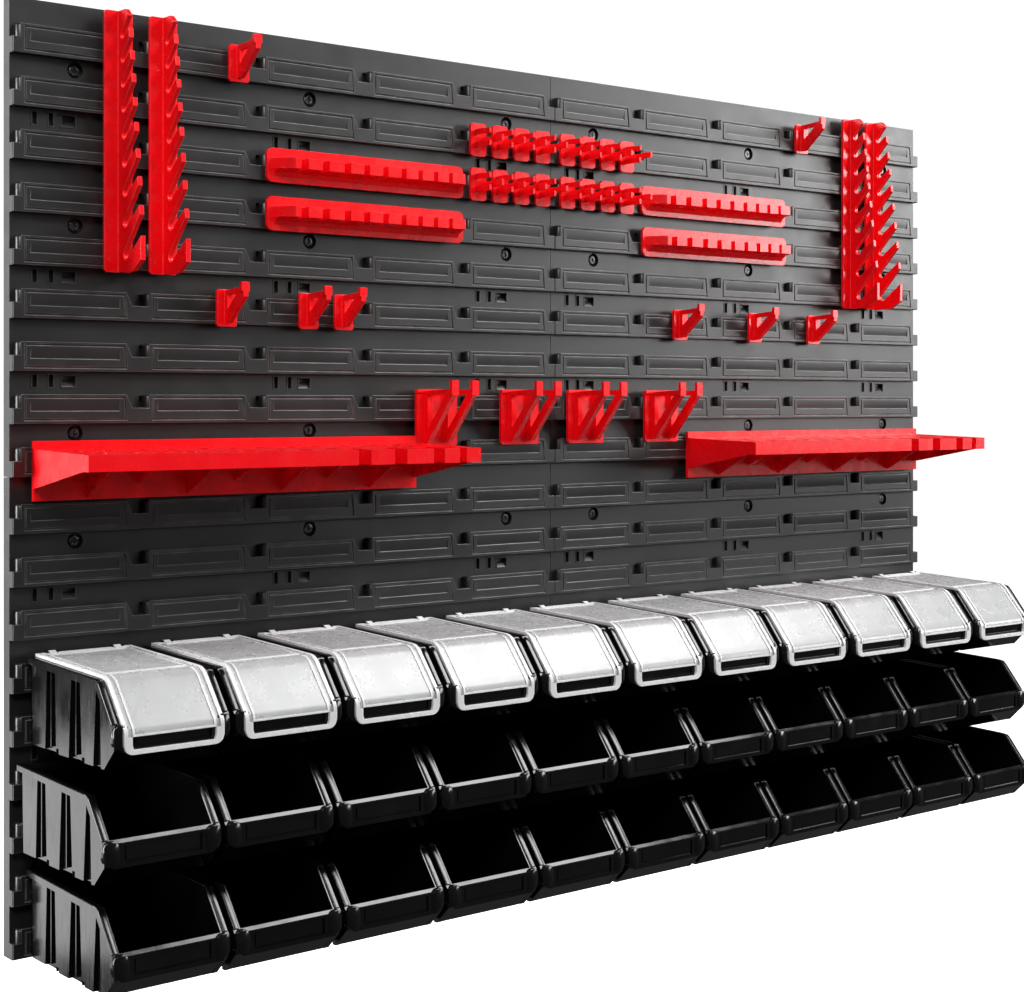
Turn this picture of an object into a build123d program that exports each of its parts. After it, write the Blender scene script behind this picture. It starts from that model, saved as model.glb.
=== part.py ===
from build123d import *
from math import cos, radians, sin
import os

os.makedirs("parts", exist_ok=True)

# Frame: X to the right along the wall, +Z up, the front faces -Y, the wall plane is y = 0.
# Depth d is the distance in front of the wall plane, so y = -d.

# wall panels
WALL_W = 1152.0
WALL_H = 780.0
SEAM = 0.25
PANEL_W = WALL_W / 2 - SEAM
PANEL_H = WALL_H / 2 - SEAM
WEB_D = 11.0
STRIP_D = 16.8
SKIN = 2.2
RAIL_PITCH = 43.0
RAIL_COUNT = 9
STRIP_H = 13.0
LIP_TOP = 24.5
LIP_SKIN = 1.4
LIP_PITCH = 115.2
LIP_COUNT = 5
LIP_START = 6.8
LIP_END = 106.8
LIP_SLANT = 6.0
RIB_T = 1.6
BACKING_D = 5.6

# wall screws
SCREW_X = (57.6, 288.0, 518.4)
SCREW_RAILS = (344.0, 215.0, 43.0)
SCREW_DROP = 8.0
HOLE_R = 2.7
RECESS_R = 6.9
RECESS_FLOOR = 6.5
BOSS_R = 9.0
SCREW_R = 2.3
HEAD_R = 4.9
HEAD_H = 2.8

# accessory slots in the web
SLOT_RAILS = (301.0, 172.0, 86.0)
SLOT_BOXES = ((-38.0, -34.0, 13.0, 2.6), (-23.6, -19.7, 13.0, 2.6), (-12.0, 0.0, 12.6, 3.6))

# red holders: back pad and the tongue that drops behind a rail lip
PAD_BACK = 18.3
PAD_T = 3.2
PAD_FRONT = PAD_BACK + PAD_T
PAD_LOW = -2.0
PAD_HIGH = 30.5
TONGUE_D0 = 12.2
TONGUE_D1 = 14.8
TONGUE_LOW = 16.0
TONGUE_BRIDGE = (24.9, 27.6)

# single and double hooks
HOOK_W = 20.0
HOOK_T = 5.0
SINGLE_HOOKS = ((-377.6, 344.0), (355.4, 344.0), (-390.0, 129.0), (-305.0, 129.0),
                (-267.2, 129.0), (163.7, 129.0), (278.8, 129.0), (375.5, 129.0))
DOUBLE_W = 48.0
DOUBLE_HOOKS = (-175.0, -72.4, 14.6, 121.4)
DOUBLE_RAIL = 43.0
DOUBLE_LOW = -23.5
DOUBLE_ARMS = (12.0, 36.0)

# spanner racks
SPANNER_LEFT = (-497.0, -455.0)
SPANNER_RIGHT = (435.7, 476.5)
SPANNER_FLANGE = 26.0
SPANNER_BLADE = (12.5, 17.0)
SPANNER_LOW = 169.5
SPANNER_HIGH = 388.5
SPANNER_ROOT_D = 28.5
SPANNER_ROOTS = (365.3, 345.2, 324.6, 303.8, 281.7, 258.4, 233.8, 208.5, 181.8)

# bit racks
BIT_W = 220.0
BIT_LEFT = ((-339.5, 258.0), (-339.5, 215.0))
BIT_RIGHT = ((116.6, 258.0), (118.0, 215.0))
BIT_LEDGE_D = 40.0
BIT_LEDGE_Z = (10.5, 20.0)
BIT_NOTCHES = (28.0, 50.5, 74.0, 95.0, 116.0, 136.5, 155.5, 173.5, 191.0)
BIT_NOTCH_W0 = 8.0
BIT_NOTCH_STEP = 0.45
BIT_TONGUES = (28.0, 78.0, 128.0, 178.0)

# spring clips
CLIP_W = 19.0
CLIP_PITCH = 27.2
CLIP_LEFT_X = -110.0
CLIP_RIGHT_X = 4.8
CLIP_RAILS = (301.0, 258.0)
CLIP_T = 2.6

# tool shelves
SHELF_X = (-560.0, 184.0)
SHELF_W = 384.5
SHELF_D = 120.0
SHELF_LOW = -19.5
SHELF_HIGH = 29.5
DECK_BACK_Z = 23.0
DECK_FRONT_Z = 20.0
DECK_T = 3.0
FASCIA_H = 13.0
SHELF_WALL = 2.6
SHELF_NOTCHES = ((251.5, 264.5), (289.3, 302.7), (331.7, 343.8), (360.6, 368.4))
NOTCH_D = 92.0
GUSSET_PITCH = 94.5
GUSSET_START = 47.0
SHELF_TONGUE_START = (44.0, 16.0)

# stacking bins: t runs forward from the back face, h runs up from the rim
BIN_PITCH = 104.6
BIN_COLUMNS = 11
BIN_BACK_D = 18.5
BIN_ROWS = ((-515.0, -146.0), (-523.0, -232.0), (-515.0, -318.0))
BIN_BODY = 45.5
BIN_WALL = 2.0
BIN_RIM = 50.0
BIN_PAD = 48.8
RIM_FRONT = (125.0, -4.5)
LIP_EDGE = (151.0, -37.0)
LIP_LOW = (151.0, -54.0)
FOOT = (134.0, -70.0)
RIM_H = 4.4
LIP_FRONT_T = 153.0
LIP_HALF = 46.0
BIN_TEETH = (-38.6, -17.4, 14.65, 35.8)
BIN_TOOTH_W = 4.6
BIN_HOOK_LOW = -14.0

# lids on the top row
LID_HALF = 43.0
LID_INNER = ((2.0, 0.35), (125.3, -4.1), (153.6, -35.0), (153.6, -57.5))
LID_OUTER = ((2.0, 1.95), (126.1, -2.6), (155.3, -34.4), (155.3, -57.5))
HINGE_T = 3.0
HINGE_H = 2.6
BARREL_R = 2.0
PIN_R = 1.0
PIN_GAP = 0.06
HINGE_X = (-29.0, 29.0)


def block(x0, x1, d0, d1, z0, z1):
    return Pos((x0 + x1) / 2, -(d0 + d1) / 2, (z0 + z1) / 2) * Box(x1 - x0, abs(d1 - d0), z1 - z0)


def side_prism(points, x0, x1):
    """A (depth, height) outline extruded along X."""
    outline = make_face(Polyline(*[(-d, z) for d, z in points], close=True))
    return extrude(Plane.YZ.offset(x0) * outline, amount=x1 - x0)


def front_prism(points, d0, d1):
    """An (x, z) outline extruded forward from depth d0 to d1."""
    outline = make_face(Polyline(*points, close=True))
    return extrude(Plane.XZ.offset(d0) * outline, amount=d1 - d0)


def plan_prism(points, z0, z1):
    """An (x, depth) outline extruded upward."""
    outline = make_face(Polyline(*[(x, -d) for x, d in points], close=True))
    return extrude(Plane.XY.offset(z0) * outline, amount=z1 - z0)


def rounded_plate(x0, x1, z0, z1, d0, d1, radius):
    shape = RectangleRounded(x1 - x0, z1 - z0, radius)
    return extrude(Plane.XZ.offset(d0) * Pos((x0 + x1) / 2, (z0 + z1) / 2) * shape, amount=d1 - d0)


def rod_forward(x, z, r, d0, d1):
    return extrude(Plane.XZ.offset(d0) * Pos(x, z) * Circle(r), amount=d1 - d0)


def rod_across(d, z, r, x0, x1):
    return extrude(Plane.YZ.offset(x0) * Pos(-d, z) * Circle(r), amount=x1 - x0)


def save(name, solids):
    parts = solids if isinstance(solids, list) else [solids]
    flat = [s for part in parts for s in part.solids()]
    export_step(flat[0] if len(flat) == 1 else Compound(children=flat), "parts/" + name + ".step")
    print(name, len(flat), "solids,", len([f for s in flat for f in s.faces()]), "faces")


# ---------------------------------------------------------------- panels


def rail_levels():
    return [i * RAIL_PITCH for i in range(RAIL_COUNT)]


def panel_front():
    """The panel's front section line from the top edge down to the bottom edge."""
    points = [(WEB_D, PANEL_H)]
    for z in reversed(rail_levels()):
        points += [(WEB_D, z + STRIP_H), (STRIP_D, z + STRIP_H), (STRIP_D, z)]
        if z > 0:
            points.append((WEB_D, z))
    return points


def panel_shell():
    back = [(0.0, 0.0), (0.0, SKIN)]
    for z in rail_levels():
        if z > 0:
            back.append((WEB_D - SKIN, z + SKIN))
        back += [(STRIP_D - SKIN, z + SKIN), (STRIP_D - SKIN, z + STRIP_H - SKIN)]
        back.append((WEB_D - SKIN, z + STRIP_H - SKIN))
    back += [(WEB_D - SKIN, PANEL_H - SKIN), (0.0, PANEL_H - SKIN), (0.0, PANEL_H)]
    return side_prism(panel_front() + back, 0.0, PANEL_W)


def panel_section(x0, x1):
    """A full-depth wall across the panel: an end wall or a stiffening rib."""
    return side_prism(panel_front() + [(0.0, 0.0), (0.0, PANEL_H)], x0, x1)


def rail_lip(x, z):
    """One pocket lip with its closed left end; the right end is slanted and open."""
    top = z + LIP_TOP
    low = z + STRIP_H - 1.0
    right = x + LIP_END - LIP_START
    outline = [(x, low), (right, low), (right, low + 1.0), (right - LIP_SLANT, top), (x + 2.0, top), (x, top - 2.0)]
    face = front_prism(outline, STRIP_D - LIP_SKIN, STRIP_D)
    end_wall = block(x, x + 2.0, WEB_D - 1.0, STRIP_D - 1.0, low, top - 2.5)
    return [face, end_wall]


def screw_positions():
    return [(x, z - SCREW_DROP) for z in SCREW_RAILS for x in SCREW_X]


def make_panel():
    """Hollow shell with ribs, lips and bosses; thick backing bars close the slots and notches behind."""
    walls = [panel_section(0.0, SKIN), panel_section(PANEL_W - SKIN, PANEL_W)]
    for k in range(1, LIP_COUNT):
        centre = k * LIP_PITCH - 3.2
        walls.append(panel_section(centre - RIB_T / 2, centre + RIB_T / 2))
    lips = []
    cuts = []
    for z in rail_levels():
        for k in range(LIP_COUNT):
            x = LIP_START + k * LIP_PITCH
            lips += rail_lip(x, z)
            if k > 0:
                cuts.append(block(x - 6.0, x - 1.0, WEB_D - 4.0, WEB_D + 1.0, z + STRIP_H + 0.6, z + LIP_TOP - 1.4))
    bosses = [rod_forward(x, z, BOSS_R, 0.0, WEB_D - 1.0) for x, z in screw_positions()]
    backing = [block(1.0, PANEL_W - 1.0, BACKING_D, WEB_D - 1.0, z + STRIP_H - 1.0, z + LIP_TOP) for z in rail_levels()]
    backing += [block(1.0, PANEL_W - 1.0, BACKING_D, WEB_D - 1.0, z - 14.2, z - 1.0) for z in SLOT_RAILS]
    for x, z in screw_positions():
        cuts.append(rod_forward(x, z, HOLE_R, -1.0, WEB_D + 1.0))
        cuts.append(rod_forward(x, z, RECESS_R, RECESS_FLOOR, WEB_D + 1.0))
    for z in SLOT_RAILS:
        for x in SCREW_X:
            for left, right, low, high in SLOT_BOXES:
                cuts.append(block(x + left, x + right, WEB_D - 4.0, WEB_D + 1.0, z - low, z - high))
    panel = panel_shell().fuse(*walls, *lips, *bosses, *backing)
    return panel.cut(*cuts)


def make_screw():
    shank = rod_forward(0.0, 0.0, SCREW_R, 0.02, RECESS_FLOOR + 0.5)
    head = rod_forward(0.0, 0.0, HEAD_R, RECESS_FLOOR, RECESS_FLOOR + HEAD_H)
    head = fillet(head.edges().filter_by(GeomType.CIRCLE).sort_by(Axis.Y)[0], 1.5)
    top = RECESS_FLOOR + HEAD_H
    cross = [block(-2.7, 2.7, top - 1.4, top + 1.0, -0.55, 0.55), block(-0.55, 0.55, top - 1.4, top + 1.0, -2.7, 2.7)]
    return (shank + head).cut(*cross)


PANEL_ORIGINS = {
    "wall_panel_top_left": (-WALL_W / 2, SEAM),
    "wall_panel_top_right": (SEAM, SEAM),
    "wall_panel_bottom_left": (-WALL_W / 2, -WALL_H / 2),
    "wall_panel_bottom_right": (SEAM, -WALL_H / 2),
}


def is_mounting_hole(name, index):
    """Four holes behind the bins stay open: the outer column of the lower panels, lower two rows."""
    row, column = divmod(index, 3)
    outer = column == 0 if name.endswith("left") else column == 2
    return "bottom" in name and outer and row > 0


# ---------------------------------------------------------------- holders


def tongue(x0, x1, rail):
    """The hook that goes over a rail lip and down into its pocket."""
    low, high = TONGUE_BRIDGE
    leg = block(x0, x1, TONGUE_D0, TONGUE_D1, rail + TONGUE_LOW, rail + high)
    return [leg, block(x0, x1, TONGUE_D0, PAD_BACK + 0.5, rail + low, rail + high)]


def hook_arm(x, low, high, reach, tip):
    """A triangular bracket plate with an open centre and an upturned tip."""
    start = PAD_FRONT - 0.5
    nose = high + tip - 12.5
    outline = [(start, low), (start, high), (reach - 5.0, high + 2.0), (reach - 5.0, high + tip - 2.0)]
    outline += [(reach - 3.5, high + tip), (reach, high + tip), (reach, nose), (start + 5.5, low)]
    plate = side_prism(outline, x - HOOK_T / 2, x + HOOK_T / 2)
    inner = start + 5.0
    window = [(inner, high - 4.0), (reach - 11.0, high - 3.2), (inner, low + 12.5)]
    return plate.cut(side_prism(window, x - HOOK_T, x + HOOK_T))


def single_hook(x, rail):
    low, high = rail + PAD_LOW, rail + PAD_HIGH
    pad = rounded_plate(x, x + HOOK_W, low, high, PAD_BACK, PAD_FRONT, 2.5)
    arm = hook_arm(x + HOOK_W / 2, low + 3.0, high - 1.0, 53.0, 6.0)
    tip = block(x + HOOK_W / 2 - 4.0, x + HOOK_W / 2 + 4.0, 49.5, 53.0, high - 3.0, high + 5.0)
    return pad.fuse(arm, tip, *tongue(x + 4.5, x + 15.5, rail))


def double_hook(x, rail):
    low, high = rail + DOUBLE_LOW, rail + PAD_HIGH
    pad = rounded_plate(x, x + DOUBLE_W, low, high, PAD_BACK, PAD_FRONT, 3.0)
    pieces = tongue(x + 5.0, x + 19.0, rail) + tongue(x + 29.0, x + 43.0, rail)
    for offset in DOUBLE_ARMS:
        centre = x + offset
        pieces.append(hook_arm(centre, low + 3.5, high - 2.0, 66.0, 10.0))
        pieces.append(block(centre - 4.0, centre + 4.0, 62.5, 66.0, high - 6.0, high + 8.0))
    bars = [block(x, x + DOUBLE_W, PAD_FRONT - 1, PAD_FRONT + 1.2, high - 3.4, high - 0.6)]
    return pad.fuse(*pieces, *bars)


def blade_front(z):
    """Depth of the spanner blade's front edge at height z."""
    share = (SPANNER_HIGH - 5.0 - z) / (SPANNER_HIGH - 200.0)
    return 38.5 + 22.5 * min(share, 1.0)


def spanner_slots(x0, x1):
    """Round-rooted slots that open upward and forward through the blade's front edge."""
    low, high = radians(36.5), radians(46.5)
    reach = 60.0
    slots = []
    for i, level in enumerate(SPANNER_ROOTS):
        d, z = SPANNER_ROOT_D + 0.8 * i, level + 2.0
        r = 3.0 + 0.15 * i
        near = [(d + r * sin(low), z - r * cos(low)), (d - r * sin(high), z + r * cos(high))]
        far = [(near[0][0] + reach * cos(low), near[0][1] + reach * sin(low))]
        far.append((near[1][0] + reach * cos(high), near[1][1] + reach * sin(high)))
        slots.append(side_prism([near[0], far[0], far[1], near[1]], x0, x1))
        slots.append(rod_across(d, z, r, x0, x1))
    return slots


def spanner_rack(x):
    flange = block(x, x + SPANNER_FLANGE, PAD_BACK, PAD_FRONT, SPANNER_LOW, SPANNER_HIGH)
    flange = chamfer(flange.edges().filter_by(Axis.Y), 2.0)
    left, right = x + SPANNER_BLADE[0], x + SPANNER_BLADE[1]
    back = PAD_FRONT - 0.5
    outline = [(back, SPANNER_HIGH), (33.0, SPANNER_HIGH), (blade_front(SPANNER_HIGH - 5), SPANNER_HIGH - 5)]
    outline += [(61.0, 200.0), (61.0, 178.0), (46.0, SPANNER_LOW), (back, SPANNER_LOW)]
    blade = side_prism(outline, left, right).cut(*spanner_slots(left - 1, right + 1))
    hooks = tongue(x + 3.5, x + 10.5, 344.0) + tongue(x + 3.5, x + 10.5, 215.0)
    return flange.fuse(blade, *hooks)


def bit_rack(x, rail):
    pad = rounded_plate(x, x + BIT_W, rail - 1.0, rail + 29.5, PAD_BACK, PAD_FRONT, 6.0)
    low, high = rail + BIT_LEDGE_Z[0], rail + BIT_LEDGE_Z[1]
    back = PAD_FRONT - 0.5
    plan = [(x + 4.5, back), (x + 15.0, BIT_LEDGE_D - 3.0), (x + 18.5, BIT_LEDGE_D)]
    plan += [(x + BIT_W - 12.0, BIT_LEDGE_D), (x + BIT_W - 8.0, BIT_LEDGE_D - 4.0), (x + BIT_W - 4.5, back)]
    ledge = plan_prism(plan, low, high)
    cove = [(back, low - 7.5), (PAD_FRONT + 2.0, low - 3.2), (PAD_FRONT + 6.0, low - 0.8), (PAD_FRONT + 12.0, low + 0.2)]
    under = side_prism(cove + [(PAD_FRONT + 12.0, low + 0.6), (back, low + 0.6)], x + 6.5, x + BIT_W - 6.5)
    slots = []
    for i, centre in enumerate(BIT_NOTCHES):
        half = (BIT_NOTCH_W0 - i * BIT_NOTCH_STEP) / 2
        slots.append(block(x + centre - half, x + centre + half, 27.0 + half, BIT_LEDGE_D + 2, low - 4, high + 1))
        slots.append(Pos(x + centre, -(27.0 + half), (low + high) / 2) * Cylinder(half, high - low + 10))
    pieces = []
    for offset in BIT_TONGUES:
        pieces += tongue(x + offset, x + offset + 12.0, rail)
    return pad.fuse(ledge.fuse(under).cut(*slots), *pieces)


def clip_prong(x, z0, z1, side):
    """A spring finger that bows round a tool handle and flares at its mouth."""
    path = [(0.0, PAD_FRONT - 0.5), (2.6, 26.0), (4.4, 31.0), (4.0, 36.0), (1.2, 41.5), (0.9, 44.0), (3.4, 49.5)]
    inner = [(x + side * (3.0 + o), d) for o, d in path]
    outer = [(x + side * (3.0 + o + CLIP_T), d) for o, d in path]
    return plan_prism(inner + outer[::-1], z0, z1)


def tool_clip(x, rail):
    pad = rounded_plate(x, x + CLIP_W, rail - 1.5, rail + 30.5, PAD_BACK, PAD_FRONT, 3.5)
    middle = rail + 14.5
    axis = x + CLIP_W / 2
    prongs = [clip_prong(axis, middle + 3.6, middle + 8.6, -1), clip_prong(axis, middle - 8.6, middle - 3.6, -1)]
    prongs.append(clip_prong(axis, middle - 2.8, middle + 2.8, 1))
    return pad.fuse(*prongs, *tongue(x + 4.8, x + 14.2, rail))


def deck_outline(inset):
    """The shelf deck in plan, with its open notches, drawn inset from the real edge."""
    front = SHELF_D - inset
    points = [(inset, PAD_BACK + inset), (inset, front)]
    for left, right in SHELF_NOTCHES:
        points += [(left - inset, front), (left - inset, NOTCH_D - inset)]
        points += [(right + inset, NOTCH_D - inset), (right + inset, front)]
    return points + [(SHELF_W - inset, front), (SHELF_W - inset, PAD_BACK + inset)]


def deck_z(d):
    share = (d - PAD_BACK) / (SHELF_D - PAD_BACK)
    return DECK_BACK_Z + (DECK_FRONT_Z - DECK_BACK_Z) * share


def shelf_holes():
    cutters = []
    for i in range(21):
        cutters.append(Pos(12.0 + i * 18.0, -34.0, 20.0) * Cylinder(3.2, 30.0))
    for i in range(13):
        cutters.append(Pos(20.0 + i * 28.5, -58.0, 20.0) * Cylinder(5.5, 30.0))
    for i in range(9):
        cutters.append(Pos(20.0 + i * 27.0, -98.0, 20.0) * Cylinder(7.0, 30.0))
    return cutters


def tool_shelf(x):
    low = DECK_FRONT_Z - FASCIA_H
    slab = plan_prism(deck_outline(0.0), low, DECK_BACK_Z)
    hollow = plan_prism(deck_outline(SHELF_WALL), low - 1, DECK_BACK_Z - DECK_T - 2.0)
    above = [(PAD_BACK - 1, deck_z(PAD_BACK - 1)), (SHELF_D + 1, deck_z(SHELF_D + 1)), (SHELF_D + 1, 40), (PAD_BACK - 1, 40)]
    deck = slab.cut(hollow, side_prism(above, -1, SHELF_W + 1))
    flange = block(0, SHELF_W, PAD_BACK, PAD_FRONT, SHELF_LOW, SHELF_HIGH)
    side = [(PAD_FRONT - 0.5, deck_z(PAD_FRONT)), (SHELF_D, DECK_FRONT_Z), (SHELF_D, low), (110.0, low)]
    side += [(PAD_FRONT + 2.5, -9.0), (PAD_FRONT - 0.5, -9.0)]
    pieces = [side_prism(side, 0, SHELF_WALL), side_prism(side, SHELF_W - SHELF_WALL, SHELF_W)]
    under = DECK_BACK_Z - DECK_T - 2.5
    for k in range(4):
        centre = GUSSET_START + k * GUSSET_PITCH
        long = [(PAD_FRONT - 0.5, under), (NOTCH_D - 4.0, under), (PAD_FRONT - 0.5, SHELF_LOW + 1.5)]
        pieces.append(side_prism(long, centre - 1.0, centre + 1.0))
        if k < 3:
            centre += GUSSET_PITCH / 2
            short = [(PAD_FRONT - 0.5, under), (NOTCH_D - 14.0, under), (PAD_FRONT - 0.5, -8.0)]
            pieces.append(side_prism(short, centre - 0.9, centre + 0.9))
    start = SHELF_TONGUE_START[x > 0]
    for k in range(4):
        pieces += tongue(start + k * 100.0, start + k * 100.0 + 12.0, SEAM)
    shelf = deck.cut(*shelf_holes()).fuse(flange, *pieces)
    return shelf.moved(Location((x, 0, 0)))


# ---------------------------------------------------------------- bins and lids


def bin_shell():
    outer = [(0.0, 0.0), RIM_FRONT, LIP_EDGE, LIP_LOW, FOOT, (0.0, -70.0)]
    body = side_prism(outer, -BIN_BODY, BIN_BODY)
    inner = BIN_BODY - BIN_WALL
    floor = -70.0 + BIN_WALL
    cavity = [(BIN_WALL, 9.0), (LIP_EDGE[0] - BIN_WALL, 9.0), (LIP_LOW[0] - BIN_WALL, LIP_LOW[1] + 0.8)]
    cavity += [(FOOT[0] - 1.0, floor), (BIN_WALL, floor)]
    return body.cut(side_prism(cavity, -inner, inner))


def bin_rim():
    band = [(0.0, 0.0), RIM_FRONT, LIP_EDGE, (151.0, LIP_EDGE[1] - 6.0), (123.0, RIM_FRONT[1] - 5.6), (0.0, -RIM_H)]
    sides = [side_prism(band, BIN_BODY - BIN_WALL, BIN_RIM), side_prism(band, -BIN_RIM, BIN_WALL - BIN_BODY)]
    return sides + [block(-BIN_RIM, BIN_RIM, 0.0, 3.2, -RIM_H, 0.0)]


def bin_lip():
    """The front edge plate with its label slot."""
    high, low = LIP_EDGE[1], -55.5
    shape = Pos(0.0, (high + low) / 2) * RectangleRounded(2 * LIP_HALF, high - low, 4.5)
    plate = extrude(Plane.XZ.offset(148.8) * shape, amount=LIP_FRONT_T - 148.8)
    plate = plate.fuse(block(-LIP_HALF, LIP_HALF, 148.8, LIP_FRONT_T, high - 6.0, high))
    label = block(-33.0, 33.0, LIP_FRONT_T - 1.4, LIP_FRONT_T + 1.0, low + 3.6, high - 2.2)
    card = block(-31.6, 30.6, LIP_FRONT_T - 1.6, LIP_FRONT_T - 0.4, low + 5.6, high - 2.0)
    return plate.cut(label).fuse(card)


def bin_side_pads(sign):
    outlines = [
        [(8.0, -3.0), (36.0, -4.0), (33.0, -69.0), (10.0, -69.0)],
        [(50.5, -3.0), (79.5, -4.0), (75.0, -70.0), (53.0, -70.0)],
        [(94.0, -4.0), (122.0, -6.0), (117.0, -70.0), (98.0, -70.0)],
        [(128.0, -16.0), (151.0, -42.0), (151.0, -54.0), (134.5, -70.0), (130.0, -70.0)],
    ]
    a, b = sorted((sign * (BIN_BODY - 1.0), sign * BIN_PAD))
    pads = [side_prism(points, a, b) for points in outlines]
    notches = [side_prism([(t, -70.5), (t + 4.5, -70.5), (t + 4.5, -66.0), (t, -66.0)], a - 1, b + 1) for t in (53.0, 98.0)]
    cut = [pads[0], pads[1].cut(notches[0]), pads[2].cut(notches[1]), pads[3]]
    lines = [side_prism([(t, -4.0), (t + 1.2, -4.0), (t + 1.2, -66.0), (t, -66.0)], a, b - sign * 1.4 if sign > 0 else b)
             for t in (43.0, 87.0)]
    return cut + lines


def bin_teeth():
    teeth = []
    for x in BIN_TEETH:
        a, b = x - BIN_TOOTH_W / 2, x + BIN_TOOTH_W / 2
        teeth.append(block(a, b, TONGUE_D0 - BIN_BACK_D, TONGUE_D1 - BIN_BACK_D, BIN_HOOK_LOW, -1.0))
        teeth.append(block(a, b, TONGUE_D0 - BIN_BACK_D, 1.0, -4.0, -1.0))
    return teeth


def make_bin():
    return bin_shell().fuse(*bin_rim(), bin_lip(), *bin_side_pads(1), *bin_side_pads(-1), *bin_teeth())


def hinge_brackets():
    """Two small ears and a pin at each hinge point on the back rim."""
    pieces = []
    for x in HINGE_X:
        for side in (-1, 1):
            a = x + side * 4.4
            pieces.append(block(a - 1.0, a + 1.0, 0.6, 5.2, -1.0, HINGE_H + 1.6))
        pieces.append(rod_across(HINGE_T, HINGE_H, PIN_R, x - 4.4, x + 4.4))
    return pieces


def make_lid():
    plate = side_prism(list(LID_INNER) + list(LID_OUTER[::-1]), -LID_HALF, LID_HALF)
    raised = [(t, h + 1.1) for t, h in LID_OUTER[:2]] + [(156.2, -33.6), (156.2, -37.0), (155.0, -37.0)]
    band = raised + [(155.0, -34.6), (125.9, -3.0), (2.0, 1.6)]
    ribs = [side_prism(band, -LID_HALF + 3.5, -LID_HALF + 7.0), side_prism(band, LID_HALF - 7.0, LID_HALF - 3.5)]
    for t in (10.0, 113.0):
        level = 1.9 - 4.5 * t / 124.0
        ribs.append(block(-LID_HALF + 5.0, LID_HALF - 5.0, t, t + 3.4, level - 1.0, level + 1.0))
    window = block(-37.5, 37.5, 150.0, 158.0, -53.6, -38.4)
    corners = []
    for sign in (-1, 1):
        points = [(sign * LID_HALF, -58.0), (sign * LID_HALF, -53.0), (sign * (LID_HALF - 5.0), -58.0)]
        corners.append(front_prism(points, 150.0, 158.0))
    frame = block(-39.5, 39.5, 155.0, 156.3, -57.0, -36.0).cut(block(-36.9, 36.9, 154.0, 157.0, -54.2, -37.8))
    notches = [block(x - 6.2, x + 6.2, 0.0, 7.2, -3.0, 6.0) for x in HINGE_X]
    barrels = []
    for x in HINGE_X:
        barrels.append(rod_across(HINGE_T, HINGE_H, BARREL_R, x - 3.0, x + 3.0))
        barrels.append(block(x - 3.0, x + 3.0, HINGE_T, 9.0, 0.75, 2.2))
    bores = [rod_across(HINGE_T, HINGE_H, PIN_R + PIN_GAP, x - 5.0, x + 5.0) for x in HINGE_X]
    lid = plate.fuse(*ribs, frame).cut(window, *corners, *notches)
    return lid.fuse(*barrels).cut(*bores)


# ---------------------------------------------------------------- build


def build_wall():
    panel = make_panel()
    screw = make_screw()
    screws = []
    for name, (x0, z0) in PANEL_ORIGINS.items():
        save(name, panel.moved(Location((x0, 0, z0))))
        for index, (x, z) in enumerate(screw_positions()):
            if not is_mounting_hole(name, index):
                screws.append(screw.moved(Location((x0 + x, 0, z0 + z))))
    save("wall_screws", screws)


def build_holders():
    save("single_hooks", [single_hook(x, rail) for x, rail in SINGLE_HOOKS])
    save("double_hooks", [double_hook(x, DOUBLE_RAIL) for x in DOUBLE_HOOKS])
    save("spanner_racks_left", [spanner_rack(x) for x in SPANNER_LEFT])
    save("spanner_racks_right", [spanner_rack(x) for x in SPANNER_RIGHT])
    save("bit_racks_left", [bit_rack(x, rail) for x, rail in BIT_LEFT])
    save("bit_racks_right", [bit_rack(x, rail) for x, rail in BIT_RIGHT])
    for name, start in (("tool_clips_left", CLIP_LEFT_X), ("tool_clips_right", CLIP_RIGHT_X)):
        save(name, [tool_clip(start + i * CLIP_PITCH, rail) for rail in CLIP_RAILS for i in range(4)])
    save("tool_shelf_left", tool_shelf(SHELF_X[0]))
    save("tool_shelf_right", tool_shelf(SHELF_X[1]))


def build_bins():
    plain = make_bin()
    hinged = plain.fuse(*hinge_brackets())
    lid = make_lid()
    for row, (x0, z0) in enumerate(BIN_ROWS, 1):
        for column in range(BIN_COLUMNS):
            place = Location((x0 + column * BIN_PITCH, -BIN_BACK_D, z0))
            tag = "%d_%02d" % (row, column + 1)
            save("bin_" + tag, (hinged if row == 1 else plain).moved(place))
            if row == 1:
                save("lid_%02d" % (column + 1), lid.moved(place))


build_wall()
build_holders()
build_bins()
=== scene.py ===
import math

import bmesh
import bpy
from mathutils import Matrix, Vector


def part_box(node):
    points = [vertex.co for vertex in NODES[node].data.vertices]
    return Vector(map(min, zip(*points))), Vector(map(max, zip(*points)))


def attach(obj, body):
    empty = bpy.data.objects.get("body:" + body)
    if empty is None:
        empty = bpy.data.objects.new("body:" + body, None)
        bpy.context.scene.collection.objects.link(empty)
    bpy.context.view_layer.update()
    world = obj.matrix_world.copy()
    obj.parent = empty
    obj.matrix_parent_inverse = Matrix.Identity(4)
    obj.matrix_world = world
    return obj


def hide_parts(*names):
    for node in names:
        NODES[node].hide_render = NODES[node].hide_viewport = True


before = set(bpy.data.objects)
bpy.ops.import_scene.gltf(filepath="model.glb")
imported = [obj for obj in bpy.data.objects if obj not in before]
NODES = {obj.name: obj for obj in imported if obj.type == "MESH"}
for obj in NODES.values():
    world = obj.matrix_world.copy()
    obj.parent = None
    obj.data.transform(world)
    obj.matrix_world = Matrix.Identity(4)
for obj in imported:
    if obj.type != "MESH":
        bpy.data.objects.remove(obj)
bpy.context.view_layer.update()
MM = 0.001

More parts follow.
